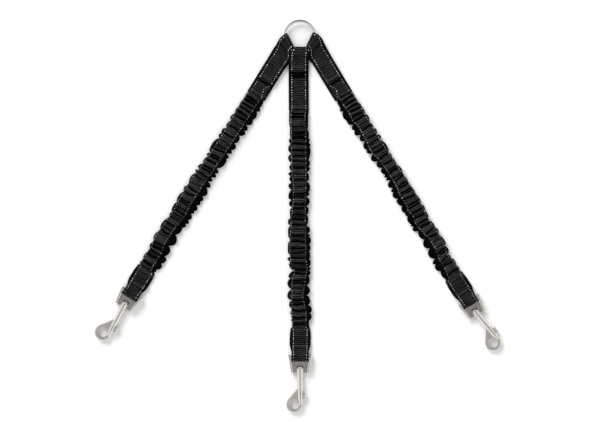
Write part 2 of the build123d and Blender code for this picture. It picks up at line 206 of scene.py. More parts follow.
def between(knots, s):
    """For listed (place, value) knots: the values on both sides of s, the gap, and s as a share of it."""
    places, values = np.array(knots).T
    i = np.clip(np.searchsorted(places, s) - 1, 0, len(places) - 2)
    gap = places[i + 1] - places[i]
    return values[i], values[i + 1], gap, np.clip((s - places[i]) / gap, 0, 1)


def along(knots, s):
    """The value at s, easing from each knot to the next."""
    first, second, _, t = between(knots, s)
    return first + (second - first) * t * t * (3 - 2 * t)


# The ribs lie as far apart as they look from above. The yarns that wrap over them are under 1 mm apart in
# such webbing and too fine to show, so they are drawn coarser.
RIB_PITCH = 2.7
RIB_HEIGHT = 0.17
YARN_PITCH = 1.7


def ribbed_webbing(name, dark, light, groove_shade):
    """Woven nylon: ribs and yarns follow the cloth map, whose units are millimetres of webbing.

    The filament yarn has a soft sheen on each rib. The grooves between the ribs are darkened with painted
    shade, and the folds map paints the shade of folds, creases and curled edges, down to near black deep in a
    fold.
    """
    material, shader = new_material(name, {"Specular IOR Level": 0.035})
    cloth = add_node(material, "ShaderNodeUVMap", uv_map="cloth").outputs[0]
    split = add_node(material, "ShaderNodeSeparateXYZ", {0: cloth})
    waves = []
    for way, pitch in (("Y", RIB_PITCH), ("X", YARN_PITCH)):
        turns = {0: split.outputs[way], 1: 2 * math.pi / pitch}
        angle = add_node(material, "ShaderNodeMath", turns, operation="MULTIPLY")
        wave = add_node(material, "ShaderNodeMath", {0: angle.outputs[0]}, operation="COSINE")
        waves.append(wave.outputs[0])
    ribs, yarns = waves
    sum_inputs = {0: yarns, 1: 0.3, 2: ribs}
    weave = add_node(material, "ShaderNodeMath", sum_inputs, operation="MULTIPLY_ADD").outputs[0]

    fibres = {"Vector": cloth, "Scale": 1.6, "Detail": 5.0, "Roughness": 0.62}
    fuzz = add_node(material, "ShaderNodeTexNoise", fibres).outputs[0]
    drawn_out = {"Vector": cloth, "Scale": (0.12, 0.9, 1.0)}
    streaks = add_node(material, "ShaderNodeMapping", drawn_out).outputs[0]
    patches = {"Vector": streaks, "Scale": 1.0, "Detail": 3.0, "Roughness": 0.6}
    wear = add_node(material, "ShaderNodeTexNoise", patches).outputs[0]
    sum_inputs = {0: fuzz, 1: 0.7, 2: weave}
    height = add_node(material, "ShaderNodeMath", sum_inputs, operation="MULTIPLY_ADD").outputs[0]
    relief = {"Height": height, "Strength": 0.6, "Distance": 0.00025}
    bump = add_node(material, "ShaderNodeBump", relief)

    # Painted shade: the grooves between the ribs and yarns are darkened to the groove colour.
    lift_range = {0: weave, 1: -0.8, 2: 0.7}
    lift = add_node(material, "ShaderNodeMapRange", lift_range, interpolation_type="SMOOTHSTEP").outputs[0]
    ground = add_node(material, "ShaderNodeMapRange", {0: wear, 1: 0.36, 2: 0.66}).outputs[0]
    tones = {0: ground, 6: colour(dark), 7: colour(light)}
    tone = add_node(material, "ShaderNodeMix", tones, data_type="RGBA").outputs[2]
    tones = {0: lift, 6: colour(groove_shade), 7: tone}
    shade = add_node(material, "ShaderNodeMix", tones, data_type="RGBA").outputs[2]

    # Painted shade: where the folds map says the cloth lies closed in a fold, its colour goes to near black.
    folds = add_node(material, "ShaderNodeUVMap", uv_map="folds").outputs[0]
    openness = add_node(material, "ShaderNodeSeparateXYZ", {0: folds}).outputs["X"]
    light_range = {0: openness, 1: 0.35, 2: 1.0}
    lit = add_node(material, "ShaderNodeMapRange", light_range, interpolation_type="SMOOTHSTEP").outputs[0]
    tones = {0: lit, 6: colour("#020202"), 7: shade}
    seen = add_node(material, "ShaderNodeMix", tones, data_type="RGBA").outputs[2]
    gloss = add_node(material, "ShaderNodeMapRange", {0: fuzz, 1: 0.3, 2: 0.7, 3: 0.42, 4: 0.62}).outputs[0]
    links = material.node_tree.links
    links.new(seen, shader.inputs["Base Color"])
    links.new(gloss, shader.inputs["Roughness"])
    links.new(bump.outputs[0], shader.inputs["Normal"])
    return material


# Black solution-dyed nylon, woven flat: dark grey ribs, with painted shade making black lines between them.
webbing = ribbed_webbing("woven_nylon_webbing", dark="#1b1b1c", light="#3c3c3e", groove_shade="#020202")


def finished(name, mesh, material):
    """Turns the faces outwards, shades them smooth and links the object."""
    work = bmesh.new()
    work.from_mesh(mesh)
    bmesh.ops.recalc_face_normals(work, faces=work.faces)
    work.to_mesh(mesh)
    work.free()
    mesh.materials.append(material)
    mesh.shade_smooth()
    piece = bpy.data.objects.new(name, mesh)
    bpy.context.scene.collection.objects.link(piece)
    return piece


def skin(name, rows, cloth, material, folds=None):
    """A closed mesh through rows of points, each row a closed loop.

    cloth holds each point's place in the weave, and folds how open the cloth is there, 0 deep in a fold,
    where the webbing paints its shade darkest.
    """
    count, around = len(rows), len(rows[0])
    points = [tuple(point) for row in rows for point in row]
    maps = [pair for row in cloth for pair in row]
    faces = []
    for r in range(count - 1):
        for k in range(around):
            a, b = r * around + k, r * around + (k + 1) % around
            faces.append((a, b, b + around, a + around))
    for base in (0, (count - 1) * around):
        for k in range(around // 2 - 1):
            faces.append((base + k, base + k + 1, base + around - 2 - k, base + around - 1 - k))
    mesh = bpy.data.meshes.new(name)
    mesh.from_pydata(points, [], faces)
    layer = mesh.uv_layers.new(name="cloth")
    opened = mesh.uv_layers.new(name="folds")
    openness = [value for row in folds for value in row] if folds else [1.0] * len(points)
    for loop in mesh.loops:
        layer.data[loop.index].uv = maps[loop.vertex_index]
        opened.data[loop.index].uv = (openness[loop.vertex_index], 0.0)
    return finished(name, mesh, material)


COLUMNS = 22  # columns of points over one face of a strap, closer together at its edges
SEAM = 8.5  # from the middle of a strap to each line of stitches
SEAM_TO_EDGE = 2.6  # a squeezed strap's seams stay this far from its edges
EDGE_SHADE_FROM = 0.6  # beyond the seam, where painted shade starts on the edge, in place of a curl away from the light
EDGE_SHADE_SPREAD = 1.2  # and the width over which that painted shade grows
EDGE_SHADE_OPENNESS = 0.52  # how open the edge is then, which sets how dark its painted shade is
ROUNDED = 0.8  # width of the rounding at each edge
ROW = 0.5  # rows are this far apart along the cloth
evenly = [k / (COLUMNS - 1) for k in range(COLUMNS)]
column_places = [0.75 * (2 * t - 1) + 0.25 * math.sin(math.pi * (t - 0.5)) for t in evenly]


def on_strap(leg, line, u, push):
    """The point at u across one row of a strap, pushed out from the strap's middle layer."""
    _, centre, advance, span, onward, climb, z = line
    x = centre[0] + u * span[0] + advance[0] * climb * push
    s = centre[1] + u * span[1] + advance[1] * climb * push
    return leg.place(s, x, z - onward * push)


def strap_rows(leg, path, plan, thickness, crease):
    """Rows of a flat strap along path, a list of (d, z); plan(d) gives its centre, advance and span.

    The edges outside the seams get painted shade, as if curled away from the light, and so does the cloth
    where crease(length) says so.
    """
    rows, cloth, folds, lines = [], [], [], []
    length = 0.0
    for i, (d, z) in enumerate(path):
        before, after = path[max(i - 1, 0)], path[min(i + 1, len(path) - 1)]
        run = math.hypot(after[0] - before[0], after[1] - before[1])
        onward, climb = (after[0] - before[0]) / run, (after[1] - before[1]) / run
        if i:
            length += math.hypot(d - path[i - 1][0], z - path[i - 1][1])
        centre, advance, span = plan(d)
        lines.append((length, centre, advance, span, onward, climb, z))
        rib = RIB_HEIGHT * (math.cos(2 * math.pi * length / RIB_PITCH) - 1)
        width = math.hypot(*span)
        seam = min(SEAM, width - SEAM_TO_EDGE)
        top, bottom, maps, opened = [], [], [], []
        for u in column_places:
            # Painted shade on the edges outside the seams and in the creases.
            outside = min(max((abs(u) * width - seam - EDGE_SHADE_FROM) / EDGE_SHADE_SPREAD, 0.0), 1.0)
            opened.append(mix(1.0, EDGE_SHADE_OPENNESS, outside) * (1 - crease(length)))
            inset = max(0.0, abs(u) * width - (width - ROUNDED)) / ROUNDED
            half = (thickness(length) / 2 + rib) * math.sqrt(max(1 - inset * inset, 0.02))
            top.append(on_strap(leg, lines[-1], u, half))
            bottom.append(on_strap(leg, lines[-1], u, -half))
            maps.append((u * width, length))
        rows.append(top + bottom[::-1])
        cloth.append(maps + maps[::-1])
        folds.append(opened + opened[::-1])
    return rows, cloth, folds, lines


# The stitches come every 3 mm or so, half of that in sight. Each is a round bead of thread that sinks into
# the cloth at both ends, and it is drawn thicker than the usual 0.4 mm of such thread, so that it shows.
STITCH_PITCH = 3.2
STITCH_LENGTH = 1.6
THREAD = 0.34  # radius of the thread as it lies in the cloth
FIRST_STITCH = 1.5  # from the end of the strap
BEAD = ((0.0, 0.35, -0.9), (0.18, 0.85, 0.1), (0.5, 1.0, 0.3), (0.82, 0.85, 0.1), (1.0, 0.35, -0.9))
BEAD_SIDES = 6
CLEAR_OF_TABLE = 0.05


def reflective_thread():
    """Glass-beaded polyester thread: pale, slightly glossy, and uneven from stitch to stitch, every 4 mm."""
    material, shader = new_material("reflective_thread", {"Roughness": 0.38, "Specular IOR Level": 0.6})
    place = add_node(material, "ShaderNodeNewGeometry").outputs["Position"]
    speckles = {"Vector": place, "Scale": 260.0, "Detail": 2.0}
    speckle = add_node(material, "ShaderNodeTexNoise", speckles).outputs[0]
    share = add_node(material, "ShaderNodeMapRange", {0: speckle, 1: 0.42, 2: 0.62}).outputs[0]
    tones = {0: share, 6: colour("#6a6a68"), 7: colour("#ffffff")}
    tone = add_node(material, "ShaderNodeMix", tones, data_type="RGBA")
    material.node_tree.links.new(tone.outputs[2], shader.inputs["Base Color"])
    return material


thread = reflective_thread()


def bead(points, faces, start, end, up, radius):
    """Adds one stitch from start to end, which stands up from the cloth; BEAD gives (share, girth, lift)."""
    first = len(points)
    run = end - start
    side = run.cross(up).normalized() * radius
    rise = side.cross(run).normalized() * radius
    for share, girth, lift in BEAD:
        for k in range(BEAD_SIDES):
            turn = 2 * math.pi * k / BEAD_SIDES
            around = side * math.cos(turn) + rise * math.sin(turn)
            points.append(start + run * share + around * girth + rise * lift)
    last = first + (len(BEAD) - 1) * BEAD_SIDES
    for ring in range(first, last, BEAD_SIDES):
        for k in range(BEAD_SIDES):
            a, b = ring + k, ring + (k + 1) % BEAD_SIDES
            faces.append((a, b, b + BEAD_SIDES, a + BEAD_SIDES))
    faces.append(tuple(first + k for k in range(BEAD_SIDES))[::-1])
    faces.append(tuple(last + k for k in range(BEAD_SIDES)))


def stitched(name, stitches, material, radius=THREAD):
    """One object of stitches, each a (start, end, up) of vectors."""
    points, faces = [], []
    for start, end, up in stitches:
        bead(points, faces, start, end, up, radius * MM)
    mesh = bpy.data.meshes.new(name)
    mesh.from_pydata([(p.x, p.y, max(p.z, TABLE + CLEAR_OF_TABLE * MM)) for p in points], [], faces)
    return finished(name, mesh, material)


def strap_stitches(leg, lines, thickness, wanted, pulled=None):
    """Stitches on the faces of a strap that wanted(face, length) asks for; face is 1 outside, -1 inside.

    pulled(side, s) is how far the line of stitches on that side has been drawn in, in millimetres.
    """
    lengths = [line[0] for line in lines]

    def line_at(length):
        return lines[min(int(np.searchsorted(lengths, length)), len(lines) - 1)]

    def at(length, u_mm, face):
        line = line_at(length)
        _, _, advance, span, onward, climb, _ = line
        point = on_strap(leg, line, u_mm / math.hypot(*span), face * thickness(length) / 2)
        tilt = leg.across * (advance[0] * climb) + leg.down * (advance[1] * climb)
        return point, (tilt + Vector((0, 0, -onward))) * face

    found = []
    for side in (-1, 1):
        for face in (1, -1):
            length = FIRST_STITCH
            while length + STITCH_LENGTH < lengths[-1]:
                if wanted(face, length + STITCH_LENGTH / 2):
                    ends = []
                    for mark in (length, length + STITCH_LENGTH):
                        _, centre, _, span, *_ = line_at(mark)
                        seam = min(SEAM, math.hypot(*span) - SEAM_TO_EDGE)
                        if pulled and length > lengths[-1] / 2:
                            seam -= pulled(side, centre[1])
                        ends.append(at(mark, side * seam, face))
                    found.append((ends[0][0], ends[1][0], ends[0][1]))
                length += STITCH_PITCH
    return found


LAYER = 2.4  # two plies, as they go round the ring
WIRE_TO_CLOTH = 3.5  # from the middle of the wire to the middle of the webbing round it
RING_Z = WIRE_TO_CLOTH + LAYER / 2
STRAP_HALF = 12.5
STRAP_THICK = 3.4  # where the gathered webs and the elastic are caught in the strap
THICKENS = (4.0, 10.0)  # beyond the tail's end
GATHERS_FROM = 88.0
# Each fold's half width, reach from the ring's centre, direction from -Y, tail and slip along the wire
FOLDS = {
    "left": (10.2, 11.9, -63.0, 62.0, 1.3),
    "middle": (8.8, 12.2, 0.0, 31.5, 0.0),
    "right": (10.2, 11.8, 64.0, 62.0, 2.2),
}
STRAIGHT = (1.0, 30.0)  # from the fold's edge, where its slant turns straight down the leg
CENTRED = (0.0, 20.0)  # and where the strap comes to the middle of the leg
SLANT = 9.0  # length over which the slant takes up webbing
WIDENS = {"left": (4.0, 26.0), "middle": (0.0, 11.0), "right": (4.0, 26.0)}
# How far each strap spreads against the middle leg, and where, and over what length
CROWDED = {"left": (0.8, 24), "middle": (0.0, 24), "right": (1.4, 16)}
CROWD_LENGTH = 9
CREASE = 14.5  # where an outer leg's tail bends down to the strap, from the fold's edge
TAIL_DROPS = (3.0, 10.5)  # beyond the fold, where the tail comes down onto the strap
TURNS = 18  # steps round the wire
PULLED = ((64, 0.0), (72, 0.6), (76, 3.0), (80, 4.8), (84, 3.2), (88, 1.8))  # beyond an outer leg's tail


def bell(value, middle, width):
    """1 at the middle, falling smoothly to 0 on both sides."""
    return math.exp(-(((value - middle) / width) ** 2))


def drawn_in(leg, side, s):
    """How far the inner seam of an outer leg swerves in at s, where the flat strap meets the gathers."""
    return float(along(PULLED, s)) if leg.side and side == -leg.side else 0.0


def ring_plan(leg):
    """plan(d) for the strap on the ring, d being the distance from the fold's edge."""
    half, reach, direction, _, slip = FOLDS[leg.name]
    out = Vector((math.sin(math.radians(direction)), -math.cos(math.radians(direction)), 0))
    out_x, out_s = out.dot(leg.across), out.dot(leg.down)
    start_x = out_x * reach - leg.offset / MM + leg.side * out_s * slip
    start_s = out_s * reach - leg.side * out_x * slip
    spread, spread_at = CROWDED[leg.name]

    def plan(d):
        centre_x = mix(start_x + out_x * d, 0.0, ease(d, *CENTRED))
        centre_s = start_s + d - (1 - out_s) * SLANT * (1 - math.exp(-max(d, 0.0) / SLANT))
        turn = mix(math.atan2(out_x, out_s), 0.0, ease(d, *STRAIGHT))
        crowd = spread * bell(d, spread_at, CROWD_LENGTH)
        centre_x -= leg.side * crowd
        width = mix(half, STRAP_HALF, ease(d, *WIDENS[leg.name])) + crowd
        span = (width * math.cos(turn), -width * math.sin(turn))
        return (centre_x, centre_s), (math.sin(turn), math.cos(turn)), span

    return plan


def ring_path(leg, plan, tail, thickness):
    """From the end of the tail, over the wire and round it, and back along the table to the gathers."""
    bight = WIRE_TO_CLOTH + LAYER / 2
    path = []
    d = tail
    while d > bight:
        drop = ease(d, bight + TAIL_DROPS[0], bight + TAIL_DROPS[1])
        dip = -0.45 * abs(leg.side) * bell(d, CREASE, 1.6)
        hem = 0.5 * ease(d, tail - 5, tail - 1.5) * (1 - 0.6 * ease(d, tail - 1.5, tail))
        path.append((d, mix(RING_Z + WIRE_TO_CLOTH, LAYER * 1.5 + 0.05, drop) + dip + hem))
        d -= ROW
    for k in range(TURNS + 1):
        angle = math.pi * k / TURNS
        path.append((bight - WIRE_TO_CLOTH * math.sin(angle), RING_Z + WIRE_TO_CLOTH * math.cos(angle)))
    d = bight + ROW
    while plan(d)[0][1] < GATHERS_FROM + 4:
        path.append((d, thickness(tail + d) / 2))
        d += ROW
    return path


for leg in legs:
    tail = FOLDS[leg.name][3]

    def thickness(length):
        return mix(LAYER, STRAP_THICK, ease(length, 2 * tail + THICKENS[0], 2 * tail + THICKENS[1]))

    def crease(length):
        """How much painted shade darkens the bend of the tail and its hem, and the painted shadow that the
        tail's end casts on the strap.
        """
        bent = 0.9 * abs(leg.side) * bell(length, tail - CREASE + 0.5, 1.5)
        hem = 0.45 * bell(length, 5.0, 1.0)
        under = length - 2 * tail - 1.6
        deep = 6.0 if leg.side else 11.0
        shadow = 0.8 * ease(under, -3.0, 0.0) * (1 - ease(under, deep - 3.0, deep))
        return min(bent + hem + shadow, 0.95)

    def wanted(face, length):
        return face > 0 or length > 2 * tail + THICKENS[0]

    def pulled(side, s):
        return drawn_in(leg, side, s)

    plan = ring_plan(leg)
    path = ring_path(leg, plan, tail, thickness)
    rows, cloth, folds, lines = strap_rows(leg, path, plan, thickness, crease)
    strap = skin(f"{leg.name}_webbing_on_ring", rows, cloth, webbing, folds)
    stitches = strap_stitches(leg, lines, thickness, wanted, pulled)
    seams = stitched(f"{leg.name}_ring_seams", stitches, thread)
    start = leg.place(leg.fold_s - 5, 0, 2)
    end = leg.place(leg.fold_s + 7, 0, 2)
    for piece, slot in ((strap, "webbing"), (seams, "thread")):
        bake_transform(piece)
    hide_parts(f"{leg.name}_upper_loop", f"{leg.name}_upper_strap")


# ---- Gathered sleeves ----
# Two webs are sewn together along both edges and drawn up on a stretched elastic, so they stand in tight
# rounded pleats. Outside the seams the free edges flare into small petals, some round and some pointed.
GATHERS_STOP = 39.0  # above the fold on the cross bar
BAR_TO_BIGHT = 4.4  # from the cross bar to the outside of the fold
SLEEVE_MIDDLE = 5.6
MARGIN = 0.8  # half of the two sewn layers
FLATTENS = 6.0  # length at each end over which the sleeve turns into flat strap
SETTLES = 14.0  # and over which it comes down onto the table
# The same webbing in paler tones, a painted highlight on the tops of its pleats; painted shade from the folds
# map darkens the valleys.
gathered = ribbed_webbing("gathered_nylon_webbing", dark="#242425", light="#525254", groove_shade="#040404")

# Each pleat: where its upper valley lies down the leg, how deep that valley is and how high the pleat stands.
PLEATS = {
    "left": (
        (90, 0.9, 0.8), (97, 0.7, 0.5), (102.5, 0.9, 0.8), (108, 1.0, 0.8), (113, 0.9, 0.9), (119, 0.9, 0.7),
        (126, 0.9, 1.0), (133, 0.4, 0.8), (140.5, 1.0, 0.9), (146, 0.2, 1.0), (152, 1.0, 0.9),
        (161, 0.3, 0.8), (169, 0.6, 0.7), (174, 0.8, 1.0), (182, 0.8, 0.6), (185, 0.6, 0.8), (191, 0.9, 1.0),
        (198, 0.5, 0.6), (203.5, 0.9, 1.0), (210, 0.8, 0.8), (216, 0.5, 1.0), (225, 0.4, 0.9),
        (233, 0.8, 1.0), (239.5, 0.9, 0.9), (249.5, 0.9, 0.7), (253.5, 0.5, 0.8), (260, 0.5, 0.7),
        (265.5, 0.9, 0.8), (270, 0.4, 0.7), (275, 0.6, 0.9), (284, 0.9, 0.8), (291, 0.5, 0.8),
        (296, 0.9, 0.8), (301, 0.3, 1.0), (312, 0.7, 0.6), (318, 1.0, 1.0), (323.5, 0.6, 0.6),
        (330, 1.0, 0.9), (340, 1.0, 0.8), (347, 0.6, 0.7),
    ),
    "middle": (
        (87, 0.5, 0.7), (91, 0.8, 0.8), (96, 1.0, 0.6), (100.5, 0.9, 0.8), (112, 0.4, 0.7), (120, 1.0, 0.5),
        (126, 1.0, 0.7), (134, 1.0, 1.0), (141.5, 1.0, 0.8), (149.5, 1.0, 0.9), (155, 0.5, 0.7),
        (164, 1.0, 0.9), (171, 0.3, 0.8), (179, 0.8, 0.8), (187, 0.4, 0.9), (196, 1.0, 0.6), (200, 0.9, 1.0),
        (209, 0.9, 0.7), (214, 0.6, 0.7), (222, 0.6, 0.6), (228, 1.0, 0.8), (234.5, 0.9, 0.9),
        (240.5, 0.4, 0.9), (248, 0.9, 0.7), (255.5, 0.9, 0.9), (264, 1.0, 0.7), (270, 0.5, 0.7),
        (276, 0.9, 1.0), (282, 0.8, 0.6), (291, 0.8, 0.7), (296, 0.9, 1.0), (304, 1.0, 0.6),
        (307.5, 0.8, 0.9), (313.5, 0.7, 0.9), (320, 0.4, 0.9), (328, 0.6, 0.6), (334, 1.0, 1.0),
        (342, 1.0, 0.9), (350.5, 0.9, 0.8), (358, 0.8, 0.7),
    ),
    "right": (
        (91, 0.8, 0.8), (97, 1.0, 0.8), (103, 1.0, 0.9), (108, 1.0, 0.8), (113.5, 0.9, 0.9), (120, 0.9, 0.7),
        (126, 0.9, 1.0), (133, 0.3, 0.8), (140.5, 1.0, 1.0), (148, 0.2, 0.9), (152.5, 0.9, 0.8),
        (160.5, 0.7, 1.0), (167, 0.4, 0.8), (172.5, 0.9, 0.8), (181.5, 0.8, 0.8), (191.5, 0.8, 1.0),
        (199, 0.4, 0.6), (203.5, 0.9, 1.0), (211, 0.4, 0.7), (215, 0.9, 1.0), (223, 0.6, 0.7),
        (226.5, 0.7, 1.0), (233, 0.8, 0.7), (235, 0.6, 1.0), (241.5, 0.9, 0.8), (251, 0.9, 0.7),
        (254, 0.7, 0.9), (261, 0.6, 0.7), (269, 0.9, 0.9), (276.5, 0.6, 0.7), (282, 0.9, 1.0),
        (291, 0.9, 0.8), (298, 0.7, 0.8), (306, 0.3, 1.0), (313, 0.3, 0.8), (319, 1.0, 0.6),
        (322.5, 0.8, 0.9), (330, 0.4, 0.7), (338, 0.9, 1.0), (349, 0.9, 0.8), (358, 0.6, 0.6),
    ),
}
# The free edges, left and right of the leg's middle: where each petal or notch lies, and how far out it is.
PETALS = {
    ("left", -1): (
        (96, 10.8), (104, 10.5), (107, 11.2), (114, 10.2), (119, 11.6), (124, 8.7), (130, 12.2),
        (134.5, 8.8), (140, 11.4), (145, 9.0), (148, 12.8), (154, 10.4), (158, 13.0), (161, 10.0),
        (171, 13.8), (178, 13.2), (182, 9.2), (186, 12.8), (188, 10.2), (196, 12.2), (198, 9.5), (205, 14.0),
        (207, 10.5), (210, 14.8), (213, 10.8), (221, 14.9), (231, 8.4), (235, 14.8), (241, 11.3),
        (248, 15.0), (257, 12.2), (261, 14.2), (270, 11.5), (272, 12.5), (277, 9.4), (290, 14.5),
        (297, 10.4), (306, 14.7), (313, 9.2), (319, 13.0), (324, 8.2), (335, 12.2), (340, 8.9), (345, 12.0),
        (347, 10.0), (351, 12.5),
    ),
    ("left", 1): (
        (93, 12.6), (99, 13.8), (102, 12.8), (106, 15.3), (108, 12.0), (115, 15.3), (119, 13.4), (124, 15.3),
        (129, 9.0), (134, 14.6), (136.5, 12.4), (139, 15.0), (145, 8.6), (151, 12.8), (156, 8.8),
        (161, 14.0), (165, 10.6), (168, 13.4), (172, 6.6), (176, 13.2), (178, 11.0), (184, 13.4), (194, 7.0),
        (197, 12.2), (201, 8.4), (205, 12.3), (208, 7.4), (210, 11.3), (214, 5.6), (219, 13.3), (222, 9.0),
        (229, 14.2), (233.5, 10.0), (238, 14.0), (240, 12.2), (243, 13.8), (247, 9.6), (252, 14.2),
        (254.5, 11.8), (257, 13.2), (260, 10.3), (265, 13.8), (268, 11.6), (271, 14.5), (274, 11.8),
        (276, 13.2), (280, 9.8), (285, 11.4), (292, 6.8), (301, 13.7), (308, 6.6), (315, 13.4), (322, 9.6),
        (326, 14.8), (332, 11.0), (336, 14.6), (341, 10.6), (344, 11.4), (347, 9.8), (352, 11.8),
    ),
    ("middle", -1): (
        (94, 13.6), (103, 13.8), (114, 12.4), (120, 12.8), (126, 11.8), (129, 14.0), (134, 11.4),
        (140, 14.8), (146, 9.8), (151, 14.8), (158, 9.5), (163, 13.4), (168, 9.8), (172, 14.7), (174, 12.0),
        (177, 13.4), (182, 10.0), (186, 14.4), (191, 10.5), (200, 14.5), (204, 10.2), (208, 13.8),
        (213, 9.6), (218, 12.8), (226, 12.0), (229, 15.0), (234, 14.6), (236, 12.2), (242, 15.0),
        (248, 14.8), (254, 7.8), (258, 14.8), (266, 15.4), (274, 10.2), (278, 15.9), (281, 12.5),
        (284, 13.8), (292, 6.9), (300, 14.5), (302, 11.9), (308, 15.7), (315, 10.0), (324, 16.0), (329, 9.8),
        (335, 13.8), (340, 8.0), (345, 12.2), (350, 7.6), (354, 11.2), (357, 9.8),
    ),
    ("middle", 1): (
        (91, 10.8), (98, 10.2), (117, 9.8), (121, 11.2), (126, 10.6), (129, 12.6), (132, 11.0), (135, 13.2),
        (138, 11.6), (142, 13.2), (148, 12.2), (154, 10.4), (159, 12.6), (162, 11.0), (164, 12.6),
        (169, 8.4), (176, 11.4), (181, 8.2), (187, 12.6), (194, 10.8), (197, 12.4), (200, 7.8), (205, 12.2),
        (211.5, 7.4), (216, 11.0), (222, 8.2), (228, 10.3), (236, 7.9), (241, 12.6), (245.5, 9.4),
        (248, 13.0), (250, 11.0), (254, 13.8), (259, 11.6), (264, 13.1), (268, 11.4), (273, 12.8),
        (278, 11.4), (282, 13.3), (287, 11.2), (289, 13.6), (292, 11.8), (294, 13.3), (298, 10.4),
        (304, 12.2), (310.5, 7.7), (317, 12.5), (322.5, 7.7), (330, 12.8), (335, 9.8), (341, 14.8),
        (345, 12.0), (349, 14.5), (354, 11.4),
    ),
    ("right", -1): (
        (94, 12.6), (98, 14.0), (102, 13.2), (106, 16.0), (108, 12.4), (115, 16.6), (119, 14.6), (124, 15.6),
        (128, 9.6), (133, 14.8), (136, 12.8), (139, 15.6), (144, 8.7), (151, 13.4), (154, 8.0), (160, 14.0),
        (164, 11.5), (166, 14.3), (172, 6.4), (178, 14.0), (183, 6.7), (188, 12.0), (193, 6.2), (197, 11.2),
        (202, 8.2), (205, 11.6), (206.5, 8.2), (209, 11.6), (212, 5.8), (217, 13.0), (221, 8.8), (224, 13.4),
        (227, 11.0), (231, 14.5), (236, 9.6), (240, 13.9), (247, 9.8), (252, 14.0), (256, 11.6), (259, 12.9),
        (262, 11.2), (267, 14.3), (272, 12.0), (274, 14.8), (276, 12.0), (279, 14.9), (284, 9.0),
        (290, 11.8), (297, 7.6), (304, 13.2), (310, 6.8), (317, 14.3), (324, 9.0), (327, 14.8), (331, 11.6),
        (335, 15.4), (341, 11.0), (348, 13.0), (352, 11.0),
    ),
    ("right", 1): (
        (97, 9.8), (103, 8.6), (109, 10.0), (115, 10.5), (120, 10.8), (124, 8.6), (129, 11.2), (136, 7.8),
        (141, 10.2), (145, 8.2), (147, 11.4), (154, 7.0), (158, 11.8), (162, 7.4), (171, 12.0), (176, 11.7),
        (180, 9.2), (183, 11.2), (188, 9.6), (193, 11.2), (199, 10.2), (203, 12.1), (209, 12.9), (211, 10.8),
        (214, 12.2), (216, 10.5), (220, 12.5), (224, 12.0), (228, 7.5), (235, 12.4), (239, 12.8),
        (242, 10.5), (250, 13.2), (257, 9.1), (261, 13.0), (266, 10.8), (271, 11.7), (278, 6.9), (286, 11.8),
        (291, 10.7), (295, 12.8), (300, 8.9), (311, 13.0), (317, 9.4), (322, 11.2), (328, 7.0), (332, 9.2),
        (334, 8.0), (338, 10.8), (345, 9.2), (350, 10.9), (353, 9.0), (356, 11.5),
    ),
}
# The two lines of stitching, which the pull of the elastic has drawn off the middle of the leg.
SEAM_LINES = {
    ("left", -1): (
        (88, 9.2), (125, 9.6), (150, 8.8), (175, 9.0), (200, 10.2), (220, 12.2), (250, 11.8), (266, 10.4),
        (285, 11.4), (305, 12.2), (322, 10.2), (350, 10.4),
    ),
    ("left", 1): (
        (88, 7.3), (125, 7.0), (150, 6.4), (175, 5.8), (200, 5.0), (222, 3.4), (250, 3.4), (266, 5.0),
        (285, 2.4), (306, 1.8), (320, 4.6), (340, 4.6), (352, 6.0),
    ),
    ("middle", -1): (
        (86, 10.8), (108, 11.6), (122, 10.4), (150, 10.6), (172, 9.6), (182, 8.2), (205, 8.2), (216, 9.6),
        (230, 11.2), (262, 12.6), (285, 11.2), (293, 6.6), (304, 10.0), (345, 10.4), (360, 9.4),
    ),
    ("middle", 1): (
        (86, 7.2), (105, 5.8), (116, 7.0), (180, 7.2), (215, 6.4), (275, 7.0), (290, 8.8), (303, 6.4),
        (325, 3.4), (337, 6.0), (348, 7.8), (360, 7.2),
    ),
    ("right", -1): (
        (88, 7.8), (100, 8.4), (116, 7.4), (123, 8.8), (134, 6.2), (150, 6.6), (168, 8.6), (185, 5.0),
        (205, 3.8), (222, 4.0), (233, 5.8), (247, 5.0), (256, 7.2), (264, 5.4), (275, 7.2), (290, 5.0),
        (300, 2.2), (315, 2.0), (326, 5.0), (340, 4.8), (353, 6.4),
    ),
    ("right", 1): (
        (88, 8.0), (102, 8.8), (150, 8.2), (180, 8.8), (200, 10.0), (220, 11.0), (247, 11.2), (262, 10.4),
        (276, 8.8), (310, 10.6), (328, 6.6), (340, 8.8), (354, 9.4),
    ),
}
# How far each free edge sinks, and how open it lies to the light, which sets the painted shade on it
DROOP = {"left": (0.9, 2.6), "middle": (1.4, 1.6), "right": (2.6, 0.9)}
SHADED = {"left": (0.6, 0.3), "middle": (0.55, 0.35), "right": (0.3, 0.6)}
POINTED = 3.2  # a petal narrower than this comes to a point
BROAD = 8.0  # a pleat wider than this is flatter on top
FURROWED = 7.0  # and one wider than this has a shallow furrow
FURROW = 0.13  # the furrow's depth and half width, as shares of the pleat
SEAM_RISE = 1.1  # how far a full pleat lifts its seams
PLEAT_RISE = 3.6  # and how much higher it stands itself
VALLEY_RISE = 0.25
LEAST_MARGIN = 0.7  # cloth outside a seam where a notch is deepest
SWERVE_ENDS = 20.0  # beyond the start of the gathers
LOWEST = 0.15  # of the sleeve above the table
MARGIN_COLUMNS = 6
FACE_COLUMNS = 17


def petals(knots, s):
    """The free edge: each petal swells quickly out of its notch, and a narrow one comes to a point."""
    first, second, gap, t = between(knots, s)
    from_notch = np.where(second > first, t, 1 - t)
    round_lobe = (1 - (1 - from_notch) ** 2.0) ** 0.62
    low = np.minimum(first, second)
    return low + np.abs(second - first) * np.where(gap > POINTED, round_lobe, from_notch)


